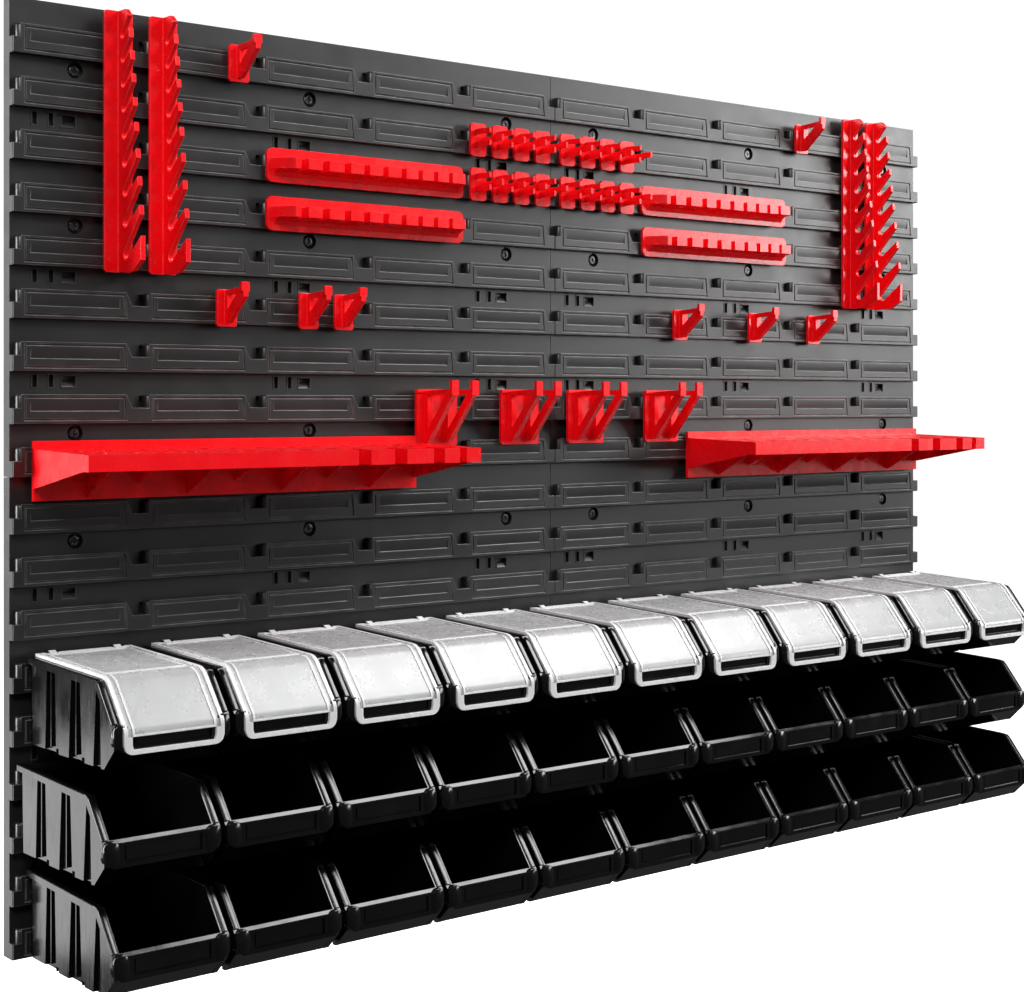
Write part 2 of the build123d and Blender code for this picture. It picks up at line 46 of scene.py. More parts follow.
# wall layout, in millimetres: rails repeat up each panel and lips repeat along each rail
PANEL_W = 576.0
PANEL_H = 390.0
SEAM = 0.25
RAIL_PITCH = 43.0
RAIL_COUNT = 9
LIP_PITCH = 115.2
LIP_COUNT = 5
LIP_START = 6.8
STRIP_TOP = 13.0
RAIL_H = 24.5
FACE_D = 18.0
FACE_BASE_D = 16.6
FACE_GROOVE = 1.1
WEB_D = 11.0
SCREW_X = (57.6, 288.0, 518.4)
SLOT_RAILS = (301.0, 172.0, 86.0)
SLOT_BOXES = ((-38.0, -34.0, 13.0, 2.6), (-23.6, -19.7, 13.0, 2.6), (-12.0, 0.0, 12.6, 3.6))
SLOT_FLOOR_D = 7.0
SQUARE_SLOT_W = 6.0
BINS_TOP = -150.0


# ---------------------------------------------------------------- materials


class Nodes:
    """Small helper that builds a node tree by name."""

    def __init__(self, name):
        self.mat = bpy.data.materials.new(name)
        self.mat.use_nodes = True
        self.tree = self.mat.node_tree
        self.bsdf = self.tree.nodes["Principled BSDF"]
        self.coord = self.add("ShaderNodeTexCoord").outputs["Object"]

    def add(self, kind, **settings):
        node = self.tree.nodes.new(kind)
        for key, value in settings.items():
            setattr(node, key, value)
        return node

    def link(self, source, target):
        self.tree.links.new(source, target)

    def noise(self, scale, detail=2.0, rough=0.5, stretch=None):
        node = self.add("ShaderNodeTexNoise")
        node.inputs["Scale"].default_value = scale
        node.inputs["Detail"].default_value = detail
        node.inputs["Roughness"].default_value = rough
        source = self.coord
        if stretch:
            mapping = self.add("ShaderNodeMapping")
            mapping.inputs["Scale"].default_value = stretch
            self.link(self.coord, mapping.inputs["Vector"])
            source = mapping.outputs["Vector"]
        self.link(source, node.inputs["Vector"])
        return node.outputs["Fac"]

    def remap(self, fac, low, high, out_low, out_high):
        node = self.add("ShaderNodeMapRange")
        self.link(fac, node.inputs["Value"])
        limits = {"From Min": low, "From Max": high, "To Min": out_low, "To Max": out_high}
        for key, value in limits.items():
            node.inputs[key].default_value = value
        return node.outputs["Result"]

    def mix(self, fac, a, b):
        node = self.add("ShaderNodeMix", data_type="RGBA")
        self.link(fac, node.inputs["Factor"])
        for socket, value in ((node.inputs[6], a), (node.inputs[7], b)):
            if isinstance(value, tuple):
                socket.default_value = (*value, 1.0)
            else:
                self.link(value, socket)
        return node.outputs[2]

    def painted_edge_highlight(self, colour, highlight_colour, scale, low, high):
        """Patchy painted highlight: a paler colour on the narrow faces along an edge, standing in for the
        light those edges catch.
        """
        return self.mix(self.remap(self.noise(scale, 3.0), 0.35, 0.7, low, high), colour, highlight_colour)

    def bump(self, height, distance, strength=1.0, below=None):
        node = self.add("ShaderNodeBump")
        node.inputs["Distance"].default_value = distance
        node.inputs["Strength"].default_value = strength
        self.link(height, node.inputs["Height"])
        if below is not None:
            self.link(below, node.inputs["Normal"])
        return node.outputs["Normal"]

    def set(self, **values):
        for key, value in values.items():
            self.bsdf.inputs[key.replace("_", " ")].default_value = value


def panel_plastic(name, edge):
    """Fine-grained dark polypropylene with a slight sheen and faint streaks, with a painted highlight on
    the rounded edges where edge is set.
    """
    n = Nodes(name)
    cloud = n.noise(9.0, 4.0, 0.6)
    streak = n.noise(14.0, 3.0, 0.6, (0.5, 1.0, 9.0))
    dark, light = (0.0098, 0.0098, 0.0101), (0.0125, 0.0123, 0.0124)
    colour = n.mix(n.remap(cloud, 0.3, 0.7, 0.0, 1.0), dark, light)
    colour = n.mix(n.remap(streak, 0.45, 0.75, 0.0, 0.35), colour, (0.0170, 0.0167, 0.0166))
    if edge:
        # painted highlight: paler patches on the edge rounding stand in for the light the edges catch
        colour = n.painted_edge_highlight(colour, (0.125, 0.123, 0.121), 60.0, 0.3, 1.0)
    n.link(colour, n.bsdf.inputs["Base Color"])
    n.link(n.remap(n.noise(35.0, 4.0, 0.65), 0.3, 0.7, 0.34, 0.41), n.bsdf.inputs["Roughness"])
    grain = n.bump(n.noise(1500.0, 2.0, 0.7), 0.00006, 0.6)
    wave = n.bump(n.noise(16.0, 2.0), 0.0005, 0.15, grain)
    n.link(wave, n.bsdf.inputs["Normal"])
    n.set(IOR=1.49, Specular_IOR_Level=0.55)
    return n.mat


def red_plastic(name, edge):
    """Glossy red moulded plastic with soft flow marks, with a painted pink highlight on the rounded edges
    where edge is set.
    """
    n = Nodes(name)
    cloud = n.noise(30.0, 3.0, 0.6)
    dark, light = (0.79, 0.0018, 0.0050), (0.86, 0.0030, 0.0082)
    colour = n.mix(n.remap(cloud, 0.3, 0.7, 0.0, 1.0), dark, light)
    if edge:
        # painted highlight: paler pink patches on the edge rounding stand in for the light the edges catch
        colour = n.painted_edge_highlight(colour, (0.90, 0.065, 0.075), 110.0, 0.25, 0.9)
    n.link(colour, n.bsdf.inputs["Base Color"])
    n.link(n.remap(n.noise(55.0, 4.0, 0.6), 0.3, 0.7, 0.23, 0.31), n.bsdf.inputs["Roughness"])
    fine = n.bump(n.noise(900.0, 2.0, 0.6), 0.00003, 0.2)
    flow = n.bump(n.noise(30.0, 1.0), 0.0004, 0.10, fine)
    n.link(flow, n.bsdf.inputs["Normal"])
    n.set(IOR=1.5, Specular_IOR_Level=0.42)
    return n.mat


def bin_plastic(name, edge):
    """Polished black moulded plastic with fine scratches, with a painted grey highlight on the rounded
    edges where edge is set.
    """
    n = Nodes(name)
    cloud = n.noise(18.0, 3.0, 0.6)
    dark, light = (0.0018, 0.0018, 0.0019), (0.0036, 0.0036, 0.0038)
    colour = n.mix(n.remap(cloud, 0.3, 0.7, 0.0, 1.0), dark, light)
    if edge:
        # painted highlight: grey patches on the edge rounding stand in for the light the edges catch
        colour = n.painted_edge_highlight(colour, (0.035, 0.035, 0.036), 80.0, 0.1, 0.9)
    n.link(colour, n.bsdf.inputs["Base Color"])
    scratch = n.remap(n.noise(60.0, 5.0, 0.75, (1.0, 6.0, 0.7)), 0.45, 0.75, 0.0, 0.12)
    rough = n.add("ShaderNodeMath", operation="ADD")
    n.link(n.remap(n.noise(28.0, 3.0), 0.3, 0.7, 0.09, 0.19), rough.inputs[0])
    n.link(scratch, rough.inputs[1])
    n.link(rough.outputs[0], n.bsdf.inputs["Roughness"])
    wave = n.bump(n.noise(26.0, 2.0), 0.0006, 0.22)
    n.link(wave, n.bsdf.inputs["Normal"])
    n.set(IOR=1.50, Specular_IOR_Level=0.36)
    return n.mat


def lid_plastic(name, low, high, clear_low, clear_high, rough):
    """Milky clear plastic: see-through but frosted, with moulding haze and drawn streaks."""
    n = Nodes(name)
    haze = n.noise(24.0, 4.0, 0.6)
    streak = n.noise(30.0, 3.0, 0.6, (3.0, 0.3, 0.3))
    colour = n.mix(n.remap(haze, 0.3, 0.7, 0.0, 1.0), low, high)
    n.link(colour, n.bsdf.inputs["Base Color"])
    n.link(n.remap(n.noise(40.0, 4.0), 0.3, 0.7, rough, rough + 0.12), n.bsdf.inputs["Roughness"])
    n.link(n.remap(streak, 0.2, 0.8, clear_low, clear_high), n.bsdf.inputs["Transmission Weight"])
    n.link(n.bump(n.noise(11.0, 1.0), 0.0004, 0.06), n.bsdf.inputs["Normal"])
    n.set(IOR=1.40, Specular_IOR_Level=0.5)
    return n.mat


def screw_metal():
    """Black-zinc screw steel with turning marks and worn bright spots."""
    n = Nodes("screw_metal")
    worn = n.remap(n.noise(600.0, 4.0, 0.7), 0.45, 0.7, 0.0, 1.0)
    colour = n.mix(worn, (0.030, 0.030, 0.032), (0.22, 0.22, 0.225))
    n.link(colour, n.bsdf.inputs["Base Color"])
    n.link(n.remap(n.noise(900.0, 3.0), 0.3, 0.7, 0.22, 0.42), n.bsdf.inputs["Roughness"])
    n.link(n.bump(n.noise(1600.0, 2.0), 0.00004, 0.6), n.bsdf.inputs["Normal"])
    n.set(Metallic=0.85)
    return n.mat


def floor_paint():
    """Bright matte white for the studio floor."""
    n = Nodes("studio_floor")
    colour = n.mix(n.noise(3.0, 2.0), (0.86, 0.86, 0.86), (0.89, 0.89, 0.89))
    n.link(colour, n.bsdf.inputs["Base Color"])
    n.set(Roughness=0.85, Specular_IOR_Level=0.1)
    n.set(Emission_Color=(1.0, 1.0, 1.0, 1.0), Emission_Strength=0.97)
    return n.mat


LID_SHEET = ((0.78, 0.79, 0.80), (0.86, 0.865, 0.87), 0.56, 0.66, 0.22)
LID_RIBS = ((0.86, 0.865, 0.87), (0.90, 0.903, 0.905), 0.26, 0.34, 0.24)
MATERIALS = {
    "panel_black": panel_plastic("panel_plastic", False),
    "holder_red": red_plastic("red_plastic", False),
    "bin_black": bin_plastic("bin_plastic", False),
    "lid_clear": lid_plastic("lid_plastic", *LID_SHEET),
    "lid_ridge": lid_plastic("lid_ridge_plastic", *LID_RIBS),
    "screw_steel": screw_metal(),
}
# materials with a painted highlight on the edge rounding
EDGE_HIGHLIGHT_MATERIALS = {
    "panel_black": panel_plastic("panel_plastic_edge_highlight", True),
    "holder_red": red_plastic("red_plastic_edge_highlight", True),
    "bin_black": bin_plastic("bin_plastic_edge_highlight", True),
}


# ---------------------------------------------------------------- carried-over parts


def slot_of(node):
    """The finish of a carried-over part, from its name."""
    if node.startswith("wall_panel"):
        return "panel_black"
    if node.startswith("wall_screws"):
        return "screw_steel"
    if node.startswith("bin_"):
        return "bin_black"
    if node.startswith("lid_"):
        return "lid_clear"
    return "holder_red"


EDGE_RADIUS = {
    "panel_black": 0.35,
    "holder_red": 0.5,
    "bin_black": 0.6,
    "lid_clear": 0.3,
    "screw_steel": 0.15,
}
CAD_EDGE_ANGLE = 28.0
WELD_DISTANCE = 2e-6
FLAT_ANGLE = 1.0


def round_edges(obj, slot, radius, angle):
    """Rounds every crisp edge, with the painted-highlight material on the rounding where there is one."""
    bevel = obj.modifiers.new("edges", "BEVEL")
    bevel.width = radius * MM
    bevel.segments = 2
    bevel.limit_method = "ANGLE"
    bevel.angle_limit = math.radians(angle)
    bevel.harden_normals = True
    # the rounding gets the material with the painted edge highlight
    if slot in EDGE_HIGHLIGHT_MATERIALS:
        if EDGE_HIGHLIGHT_MATERIALS[slot].name not in obj.data.materials:
            obj.data.materials.append(EDGE_HIGHLIGHT_MATERIALS[slot])
        bevel.material = 1


def soften(obj, slot):
    """Joins the split faces of a carried-over part and rounds its edges."""
    weld = obj.modifiers.new("join", "WELD")
    weld.merge_threshold = WELD_DISTANCE
    flat = obj.modifiers.new("flats", "DECIMATE")
    flat.decimate_type = "DISSOLVE"
    flat.angle_limit = math.radians(FLAT_ANGLE)
    round_edges(obj, slot, EDGE_RADIUS[slot], CAD_EDGE_ANGLE)


def finish_cad_nodes():
    """Gives every carried-over part its material, smooth normals and rounded edges."""
    for name, obj in NODES.items():
        slot = slot_of(name)
        obj.data.materials.clear()
        obj.data.materials.append(MATERIALS[slot])
        stale = obj.data.attributes.get("custom_normal")
        if stale is not None:
            obj.data.attributes.remove(stale)
        for face in obj.data.polygons:
            face.use_smooth = True
        soften(obj, slot)


finish_cad_nodes()


# ---------------------------------------------------------------- raised rail faces


def mesh_from(name, bm, *slots):
    """A smooth-shaded mesh with the given material slots, from finished mesh code."""
    mesh = bpy.data.meshes.new(name)
    bmesh.ops.remove_doubles(bm, verts=bm.verts, dist=1e-6)
    bmesh.ops.recalc_face_normals(bm, faces=bm.faces)
    for face in bm.faces:
        face.smooth = True
    bm.to_mesh(mesh)
    bm.free()
    for slot in slots:
        mesh.materials.append(MATERIALS[slot])
    return mesh


def place(name, mesh, slot, radius, body="wall", location=(0.0, 0.0, 0.0), angle=20.0):
    """Adds a piece with rounded edges that rides on a body."""
    obj = bpy.data.objects.new(name, mesh)
    obj.location = location
    bpy.context.scene.collection.objects.link(obj)
    round_edges(obj, slot, radius, angle)
    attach(obj, body)
    return obj


# height lines of one rail face above the rail's lower edge; rows from LIP_FIRST_ROW up are lip only
Z_LINES = (0.25, 2.6, 4.0, 10.4, 13.0, 19.6, 20.9, 22.3, 24.2)
LIP_FIRST_ROW = 4
GROOVE_ROWS = (1, 6)
RAMP_MIDDLE = 0.8


def x_lines():
    """Lines along one rail as (x at the strip, slant to the top, kind of column that starts here)."""
    lines = [(0.3, 0.0, "gap")]
    for k in range(LIP_COUNT):
        x = LIP_START + k * LIP_PITCH + 0.35
        lines += [(x, 0.0, "edge"), (x + 2.9, 0.0, "groove"), (x + 4.2, 0.0, "border")]
        lines += [(x + 8.2, 0.0, "ramp"), (x + 88.0, -0.6, "border"), (x + 93.6, -2.4, "groove")]
        lines += [(x + 94.9, -2.4, "edge"), (x + 99.3, -5.7, "gap")]
    lines.append((PANEL_W - SEAM - 0.3, 0.0, "end"))
    return lines


def cell_depth(column, row):
    """Corner sinks (left-low, right-low, right-high, left-high) of a cell, or None where it is open."""
    lip_only = row >= LIP_FIRST_ROW
    if column == "gap":
        return None if lip_only else (0.0,) * 4
    if row in GROOVE_ROWS and column != "edge":
        return (FACE_GROOVE,) * 4
    if column == "groove" and GROOVE_ROWS[0] <= row <= GROOVE_ROWS[1]:
        return (FACE_GROOVE,) * 4
    if column == "ramp" and row == LIP_FIRST_ROW - 1:
        return (FACE_GROOVE, FACE_GROOVE, RAMP_MIDDLE, RAMP_MIDDLE)
    if column == "ramp" and row == LIP_FIRST_ROW:
        return (RAMP_MIDDLE, RAMP_MIDDLE, 0.0, 0.0)
    return (0.0,) * 4


def relief(bm, columns, rows, point, level, base, tint=None):
    """Closed stepped relief: point(i, j, sink) places a corner, level(i, j) gives a cell's corner sinks."""
    cells = {}
    for i in range(columns):
        for j in range(rows):
            sinks = level(i, j)
            if sinks is not None:
                cells[i, j] = sinks

    def polygon(points, cell):
        kept = [p for n, p in enumerate(points) if (p - points[n - 1]).length > 1e-7]
        if len(kept) >= 3:
            face = bm.faces.new([bm.verts.new(p) for p in kept])
            face.material_index = tint(*cell) if tint else 0

    for (i, j), (a, b, c, d) in cells.items():
        ends = ((i, j), (i + 1, j), (i + 1, j + 1), (i, j + 1))
        polygon([point(*e, sink) for e, sink in zip(ends, (a, b, c, d))], (i, j))
        polygon([point(*e, base) for e in reversed(ends)], (i, j))
        right = cells.get((i + 1, j))
        near, far = (right[0], right[3]) if right else (base, base)
        low, high = (i + 1, j), (i + 1, j + 1)
        polygon([point(*low, b), point(*low, near), point(*high, far), point(*high, c)], (i, j))
        above = cells.get((i, j + 1))
        near, far = (above[0], above[1]) if above else (base, base)
        left, right_end = (i, j + 1), (i + 1, j + 1)
        wall = [point(*left, d), point(*right_end, c), point(*right_end, far), point(*left, near)]
        polygon(wall, (i, j))
        if (i - 1, j) not in cells:
            polygon([point(i, j, a), point(*left, d), point(*left, base), point(i, j, base)], (i, j))
        if (i, j - 1) not in cells:
            wall = [point(i, j, a), point(i, j, base), point(i + 1, j, base), point(i + 1, j, b)]
            polygon(wall, (i, j))


def rail_face(bm, x0, z0, lines):
    """One rail's raised face with framed lips."""

    def point(i, j, sink):
        x, slant, _ = lines[i]
        z = Z_LINES[j]
        if slant:
            outer = slant < -5
            x += slant * (max(0.0, z - STRIP_TOP) / (RAIL_H - STRIP_TOP) if outer else z / RAIL_H)
        return Vector((x0 + x, -(FACE_D - sink), z0 + z)) * MM

    def level(i, j):
        return cell_depth(lines[i][2], j)

    relief(bm, len(lines) - 1, len(Z_LINES) - 1, point, level, FACE_D - FACE_BASE_D)


def lip_column(bm, x, z):
    """The rounded post that closes a lip's left end, with a softened top."""
    inner, back, corner, centre_x, centre_d = 1.4, WEB_D - 0.4, 3.8, 1.0, 14.1
    plan = [(inner, back), (-2.8, back)]
    for angle in range(0, 91, 15):
        a = math.radians(angle)
        plan.append((centre_x - corner * math.cos(a), centre_d + corner * math.sin(a)))
    plan.append((inner, centre_d + corner))
    rings = []
    for height, inset in ((STRIP_TOP - 0.6, 0.0), (22.4, 0.0), (23.5, 0.35), (24.15, 1.2)):
        scale = 1.0 - inset / 4.0
        ring = []
        for px, d in plan:
            sx, sd = inner + (px - inner) * scale, back + (d - back) * scale
            ring.append(bm.verts.new(Vector((x + sx, -sd, z + height)) * MM))
        rings.append(ring)
    loft(bm, rings)


def loft(bm, rings, index=0):
    """Closed skin over matching rings of vertices, capped at both ends."""
    count = len(rings[0])
    faces = []
    for one, two in zip(rings, rings[1:]):
        for k in range(count):
            m = (k + 1) % count
            faces.append(bm.faces.new([one[k], one[m], two[m], two[k]]))
    faces += [bm.faces.new(rings[0]), bm.faces.new(list(reversed(rings[-1])))]
    for face in faces:
        face.material_index = index


def slot_trim(bm, x0, x1, z0, z1, ramp):
    """A thin raised border round an accessory slot, and the ramp inside a square one."""
    columns = (x0 - 1.0, x0, x1, x1 + 1.0)
    rows = (z0 - 1.0, z0, z1, z1 + 1.0)

    def point(i, j, sink):
        return Vector((columns[i], -(WEB_D + 0.45 - sink), rows[j])) * MM

    relief(bm, 3, 3, point, lambda i, j: None if i == 1 and j == 1 else (0.0,) * 4, 0.8)
    if ramp:
        floor = SLOT_FLOOR_D - 0.3
        side = [(WEB_D - 0.3, z0 - 0.2), (WEB_D - 0.7, z0 + 0.6), (floor, z0 + 6.2), (floor, z0 - 0.2)]
        ends = (x0 - 0.2, x1 + 0.2)
        loft(bm, [[bm.verts.new(Vector((x, -d, z)) * MM) for d, z in side] for x in ends])


def hidden_by_bins(z, k, side):
    """True for the lip posts behind the bins, apart from the column at the wall's left edge."""
    return z < BINS_TOP and not (k == 0 and side == "left")


def place_panel_piece(kind, panel, bm, radius, angle=20.0):
    """One panel's faces, posts or slot borders, as a piece named after both."""
    name = kind + "_" + panel
    place(name, mesh_from(name, bm, "panel_black"), "panel_black", radius, angle=angle)


def panel_posts(side, x0, z0):
    """The lip end posts of one panel that aren't behind bins."""
    posts = bmesh.new()
    for rail in range(RAIL_COUNT):
        z = z0 + rail * RAIL_PITCH
        for k in range(LIP_COUNT):
            if not hidden_by_bins(z, k, side):
                lip_column(posts, x0 + LIP_START + k * LIP_PITCH, z)
    return posts


def panel_trims(x0, z0):
    """The slot borders of one panel."""
    trims = bmesh.new()
    for rail in SLOT_RAILS:
        for x in SCREW_X:
            for left, right, low, high in SLOT_BOXES:
                span = (x0 + x + left, x0 + x + right, z0 + rail - low, z0 + rail - high)
                slot_trim(trims, *span, right - left > SQUARE_SLOT_W)
    return trims


def rail_faces():
    """The raised faces, posts and slot borders of all four panels."""
    lines = x_lines()
    for side, x0 in (("left", -PANEL_W), ("right", SEAM)):
        for level, z0 in (("top", SEAM), ("bottom", -PANEL_H)):
            panel = level + "_" + side
            faces = bmesh.new()
            for rail in range(RAIL_COUNT):
                rail_face(faces, x0, z0 + rail * RAIL_PITCH, lines)
            place_panel_piece("rail_faces", panel, faces, 0.4)
            place_panel_piece("lip_posts", panel, panel_posts(side, x0, z0), 0.25, 40.0)
            place_panel_piece("slot_trims", panel, panel_trims(x0, z0), 0.15)


rail_faces()


# ---------------------------------------------------------------- lids

LID_HALF = 43.0
LID_SKIN = 1.5
LID_RIDGE = 1.1
LID_CORNER = 8.0
LID_FRONT = 153.6
LID_DROP = 57.5
LID_BAR = 0.7 * LID_RIDGE
BARREL_TOP = 4.6
BIN_BACK_D = 18.5


def arc(centre, radius, start, end, count):
    """Points (t, h) and outward normals along an arc; angles in degrees from the forward direction."""
    out = []
    for n in range(count + 1):
        a = math.radians(start + (end - start) * n / count)
        out_n = (math.cos(a), math.sin(a))
        out.append(((centre[0] + radius * out_n[0], centre[1] + radius * out_n[1]), out_n))
    return out


def lid_profile():
    """Stations (t, h), outward normal and row kind, from the back edge over the knee to the front edge."""
    flat = math.degrees(math.atan2(4.45, 123.3))
    steep = 50.0
    top = (-math.sin(math.radians(-flat)), math.cos(math.radians(flat)))
    rows = [((2.0, 0.35), top, "rim"), ((5.6, 0.22), top, "sheet")]
    rows += [((8.4, 0.12), top, "bar"), ((11.0, 0.02), top, "inner")]
    rows += [((20.0 + 11.6 * n, -0.3 - 0.418 * n), top, "inner") for n in range(8)]
    rows += [((108.0, -3.47), top, "bar"), ((111.5, -3.6), top, "sheet")]
    knee_r = 13.0
    nx, nh = top
    centre = (117.6 - knee_r * nx, -3.82 - knee_r * nh)
    knee = arc(centre, knee_r, 90.0 - flat, 90.0 - steep, 7)
    rows += [(p, n, "front") for p, n in knee]
    last, normal = knee[-1]
    down = (math.cos(math.radians(steep)), -math.sin(math.radians(steep)))
    foot_r = 7.0
    length = (LID_FRONT - foot_r * (1 - math.cos(math.radians(90.0 - steep))) - last[0]) / down[0]
    for n in range(1, 6):
        step = length * n / 5
        rows.append(((last[0] + down[0] * step, last[1] + down[1] * step), normal, "front"))
    end = rows[-1][0]
    centre = (end[0] - foot_r * normal[0], end[1] - foot_r * normal[1])
    foot = arc(centre, foot_r, 90.0 - steep, 0.0, 4)[1:]
    rows += [(p, n, "front") for p, n in foot]
    h = rows[-1][0][1]
    forward = (1.0, 0.0)
    rows[-1] = (rows[-1][0], forward, "bar")
    rows += [((LID_FRONT, z), forward, "window") for z in (h - 1.6, h - 4.0, -50.5)]
    rows += [((LID_FRONT, z), forward, "rim") for z in (-53.8, -55.0, -56.2, -57.0)]
    rows.append(((LID_FRONT, -LID_DROP), forward, "end"))
    return rows


def lid_edge(h):
    """Half width of the lid at height h, rounded in at the two front corners."""
    above = h + LID_DROP
    if above >= LID_CORNER:
        return LID_HALF
    return LID_HALF - LID_CORNER + math.sqrt(LID_CORNER ** 2 - (LID_CORNER - above) ** 2)


def make_lid_mesh():
    """One clear lid: sheet, raised rim and inner frame, label loop and hinge barrels."""
    rows = lid_profile()
    insets = [0.0, 3.6, 7.2, 9.2]
    kinds = ["rim", "sheet", "bar", "inner", "bar", "sheet", "rim"]

    def across(i, h):
        edge = lid_edge(h)
        if i < 4:
            return -(edge - insets[i])
        return edge - insets[7 - i]

    def point(i, j, sink):
        (t, h), (nt, nh), _ = rows[j]
        up = LID_SKIN - sink
        return Vector((across(i, h), -(t + nt * up), h + nh * up)) * MM

    def raised(i, j):
        column, row = kinds[i], rows[j][2]
        if row == "window" and column in ("bar", "inner"):
            return None
        if row == "window" and column == "sheet":
            return -LID_RIDGE
        if column == "rim" or row == "rim":
            return -LID_RIDGE
        if row == "bar" and column in ("bar", "inner"):
            return -LID_BAR
        if column == "bar" and row in ("inner", "front"):
            return -LID_BAR
        return 0.0

    def level(i, j):
        sink = raised(i, j)
        return None if sink is None else (sink,) * 4

    def tint(i, j):
        return 1 if raised(i, j) else 0

    bm = bmesh.new()
    relief(bm, 7, len(rows) - 1, point, level, LID_SKIN, tint)
    for x in (-29.0, 29.0):
        add_knuckle(bm, x)
    return mesh_from("lid_shape", bm, "lid_clear", "lid_ridge")


def prism(bm, near, far, index):
    """Closed prism between two matching rings of vertices."""
    count = len(near)
    faces = []
    for n in range(count):
        m = (n + 1) % count
        faces.append(bm.faces.new([near[n], near[m], far[m], far[n]]))
    faces += [bm.faces.new(list(reversed(near))), bm.faces.new(far)]
    for face in faces:
        face.material_index = index


def add_knuckle(bm, x):
    """Hinge barrel with its strap."""
    ring = []
    sides = 20
    for n in range(sides):
        a = 2 * math.pi * n / sides
        ring.append((3.0 + 2.0 * math.cos(a), 2.6 + 2.0 * math.sin(a)))
    strap = [(3.0, 1.2), (3.0, 4.3), (6.0, 3.6), (9.5, 1.9), (9.5, 1.2)]
    for outline, half in ((ring, 3.0), (strap, 2.9)):
        ends = [[bm.verts.new(Vector((x + s * half, -t, h)) * MM) for t, h in outline] for s in (-1, 1)]
        prism(bm, *ends, 1)


def place_lids():
    """A finished lid in place of each plain one, riding on the same body."""
    mesh = make_lid_mesh()
    for node in sorted(n for n in NODES if n.startswith("lid_")):
        low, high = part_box(node)
        spot = ((low.x + high.x) / 2, -BIN_BACK_D * MM, high.z - BARREL_TOP * MM)
        lid = place("clear_" + node, mesh, "lid_clear", 0.28, node, spot, 25.0)
        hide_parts(node)


place_lids()


# ---------------------------------------------------------------- bin trim

# side rim of a bin as (distance from the back face, height above the back rim)
RIM_PATH = (
    (1.0, 0.0),
    (60.0, -2.15),
    (116.0, -4.15),
    (122.0, -4.7),
    (126.5, -6.6),
    (130.0, -10.6),
    (149.2, -34.4),
)
# half of the bead's section as (share of the width, share of the height), and its mirror image
BEAD_LEFT = ((0.0, 0.0), (0.03, 0.55), (0.10, 0.88), (0.22, 1.0))
BEAD_SHAPE = BEAD_LEFT + ((0.78, 1.0), (0.90, 0.88), (0.97, 0.55), (1.0, 0.0))
BIN_HEIGHT = 70.0
EAR_CENTRE = (43.2, -45.0)
EAR_REACH = 7.0


def bead(bm, path, x_in, x_out, height):
    """A flat-topped bead with rounded shoulders along a (t, h) path, between two x positions."""
    rings = []
    for n, (t, h) in enumerate(path):
        before, after = path[max(n - 1, 0)], path[min(n + 1, len(path) - 1)]
        run = Vector((after[0] - before[0], after[1] - before[1])).normalized()
        nt, nh = -run.y, run.x
        ring = []
        for share, up in ((1.0, -0.5),) + BEAD_SHAPE[::-1] + ((0.0, -0.5),):
            x = x_in + (x_out - x_in) * share
            up = up * height
            ring.append(bm.verts.new(Vector((x, -(t + nt * up), h + nh * up)) * MM))
        rings.append(ring)
    loft(bm, rings)


def corner_ear(bm, side):
    """The rounded flange end that wraps over a lip corner."""
    outline = [(36.5, -44.0), (36.5, -39.6), (38.2, -36.4), (41.0, -35.0), (46.0, -34.6)]
    outline += [(48.6, -36.2), (49.8, -39.0), (49.8, -48.0), (48.6, -51.6), (46.0, -53.8)]
    outline += [(41.5, -54.6), (38.0, -53.6), (36.5, -50.5)]
    cx, ch = EAR_CENTRE
    fronts = []
    for d, grow in ((147.0, 0.0), (152.9, 0.0), (153.9, -0.9)):
        scale = 1.0 + grow / EAR_REACH
        ring = []
        for x, h in outline:
            spot = Vector((side * (cx + (x - cx) * scale), -d, ch + (h - ch) * scale))
            ring.append(bm.verts.new(spot * MM))
        fronts.append(ring)
    loft(bm, fronts)


def make_trim_mesh():
    """Both rim beads and both lip corners of one bin."""
    bm = bmesh.new()
    for side in (-1, 1):
        x_in, x_out = sorted((side * 44.9, side * 49.95))
        bead(bm, RIM_PATH, x_in, x_out, 1.0)
        corner_ear(bm, side)
    return mesh_from("bin_trim_shape", bm, "bin_black")


def place_trim():
    """The same trim on every bin, riding with it."""
    mesh = make_trim_mesh()
    for node in sorted(n for n in NODES if n.startswith("bin_")):
        low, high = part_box(node)
        spot = ((low.x + high.x) / 2, -BIN_BACK_D * MM, low.z + BIN_HEIGHT * MM)
        place("trim_" + node, mesh, "bin_black", 0.3, node, spot, 50.0)


place_trim()


# ---------------------------------------------------------------- studio


# name, place, aim, size and power of each lamp, in metres and watts
LIGHTS = (
    ("key_overhead", (1.5, -1.1, 1.85), (0.15, 0.0, 0.0), (1.5, 1.1), 82.0),
    ("softbox_right", (3.1, -2.05, 0.80), (0.35, 0.0, 0.2), (1.3, 1.2), 66.0),
    ("fill_left", (-2.6, 1.3, 0.3), (-0.5, -0.1, -0.1), (1.6, 1.8), 150.0),
    ("edge_left", (-1.36, 0.95, -0.60), (-0.56, -0.1, -0.30), (0.95, 0.32), 2.7),
    ("front_left", (-1.7, -1.9, 1.9), (-0.35, 0.0, 0.5), (1.1, 0.9), 58.0),
)
SOFT_STRENGTH = 0.10
BACKDROP_STRENGTH = 1.05
FLOOR_Z = -0.75
FLOOR_HALF = 14.0
WHITE = (1.0, 1.0, 1.0, 1.0)


def area_light(name, spot, aim, size, power):
    """A rectangular lamp that clear plastic doesn't show in transmitted rays."""
    data = bpy.data.lights.new(name, "AREA")
    data.shape = "RECTANGLE"
    data.size, data.size_y = size
    data.energy = power
    obj = bpy.data.objects.new(name, data)
    obj.location = spot
    obj.rotation_euler = (Vector(aim) - Vector(spot)).to_track_quat("-Z", "Y").to_euler()
    obj.visible_transmission = False
    bpy.context.scene.collection.objects.link(obj)


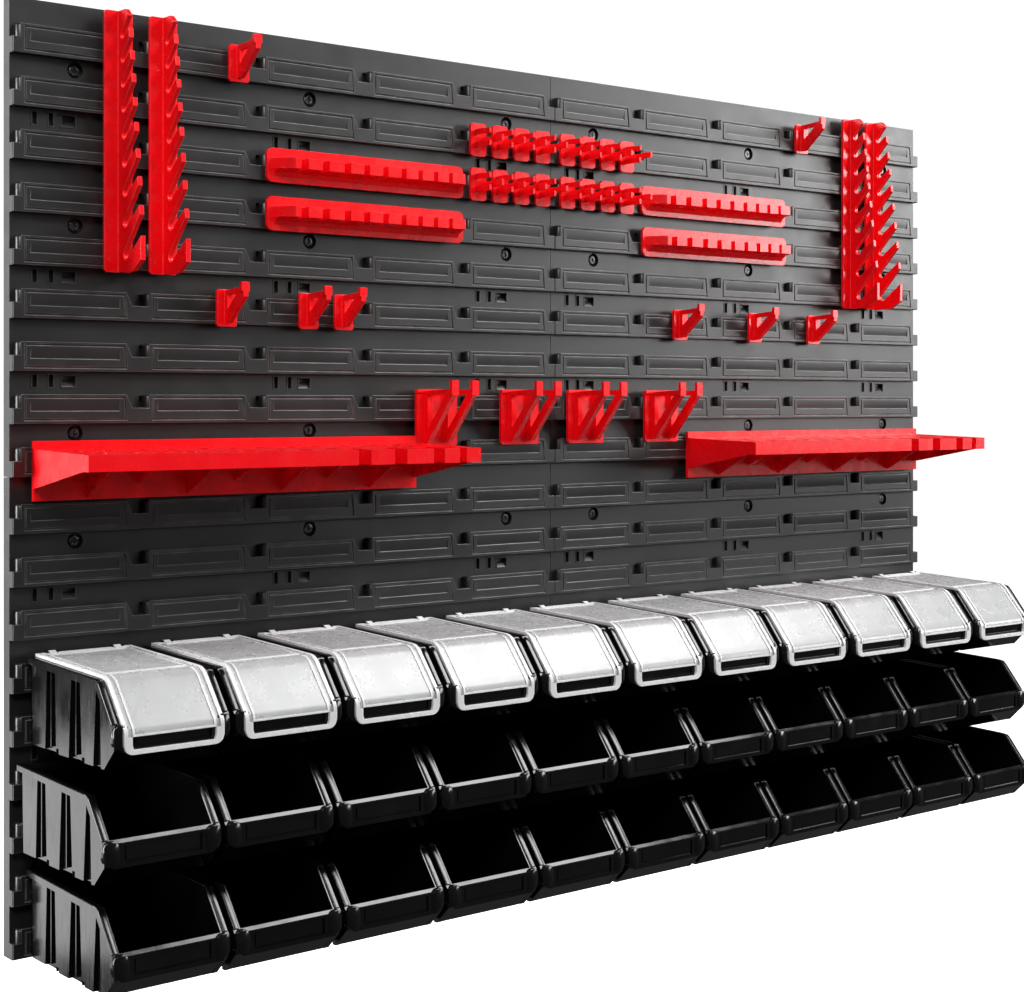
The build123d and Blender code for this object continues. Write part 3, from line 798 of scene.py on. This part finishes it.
def studio_world(scene):
    """Soft light all round, and a plain white backdrop for the camera alone."""
    world = bpy.data.worlds.new("studio_world")
    scene.world = world
    world.use_nodes = True
    tree = world.node_tree
    soft = tree.nodes["Background"]
    soft.inputs["Color"].default_value = WHITE
    soft.inputs["Strength"].default_value = SOFT_STRENGTH
    backdrop = tree.nodes.new("ShaderNodeBackground")
    backdrop.inputs["Color"].default_value = WHITE
    backdrop.inputs["Strength"].default_value = BACKDROP_STRENGTH
    seen = tree.nodes.new("ShaderNodeLightPath")
    choose = tree.nodes.new("ShaderNodeMixShader")
    tree.links.new(seen.outputs["Is Camera Ray"], choose.inputs[0])
    tree.links.new(soft.outputs[0], choose.inputs[1])
    tree.links.new(backdrop.outputs[0], choose.inputs[2])
    tree.links.new(choose.outputs[0], tree.nodes["World Output"].inputs["Surface"])


def studio_floor(scene):
    """Plain pale floor that the object's own surfaces don't reflect."""
    bm = bmesh.new()
    bmesh.ops.create_grid(bm, x_segments=8, y_segments=8, size=FLOOR_HALF)
    mesh = bpy.data.meshes.new("studio_floor")
    bm.to_mesh(mesh)
    bm.free()
    floor = bpy.data.objects.new("studio_floor", mesh)
    floor.location = (0.0, 0.0, FLOOR_Z)
    scene.collection.objects.link(floor)
    mesh.materials.append(floor_paint())
    floor.visible_diffuse = False
    floor.visible_glossy = False
    floor.visible_transmission = False


def studio_camera(scene):
    """Level view from the front left, with the lens shifted down to frame the wall."""
    lens = bpy.data.cameras.new("camera")
    lens.sensor_width = 36.0
    lens.lens = 64.255
    lens.shift_y = -0.09145
    camera = bpy.data.objects.new("camera", lens)
    camera.location = (-1.19751, -1.41440, 0.06087)
    camera.rotation_euler = (math.radians(90.0), 0.0, math.radians(-39.266))
    scene.collection.objects.link(camera)
    scene.camera = camera


def studio():
    scene = bpy.context.scene
    scene.view_settings.view_transform = "Standard"
    scene.view_settings.look = "None"
    scene.view_settings.exposure = 0.0
    studio_world(scene)
    for light in LIGHTS:
        area_light(*light)
    studio_floor(scene)
    studio_camera(scene)


studio()

bpy.context.view_layer.update()
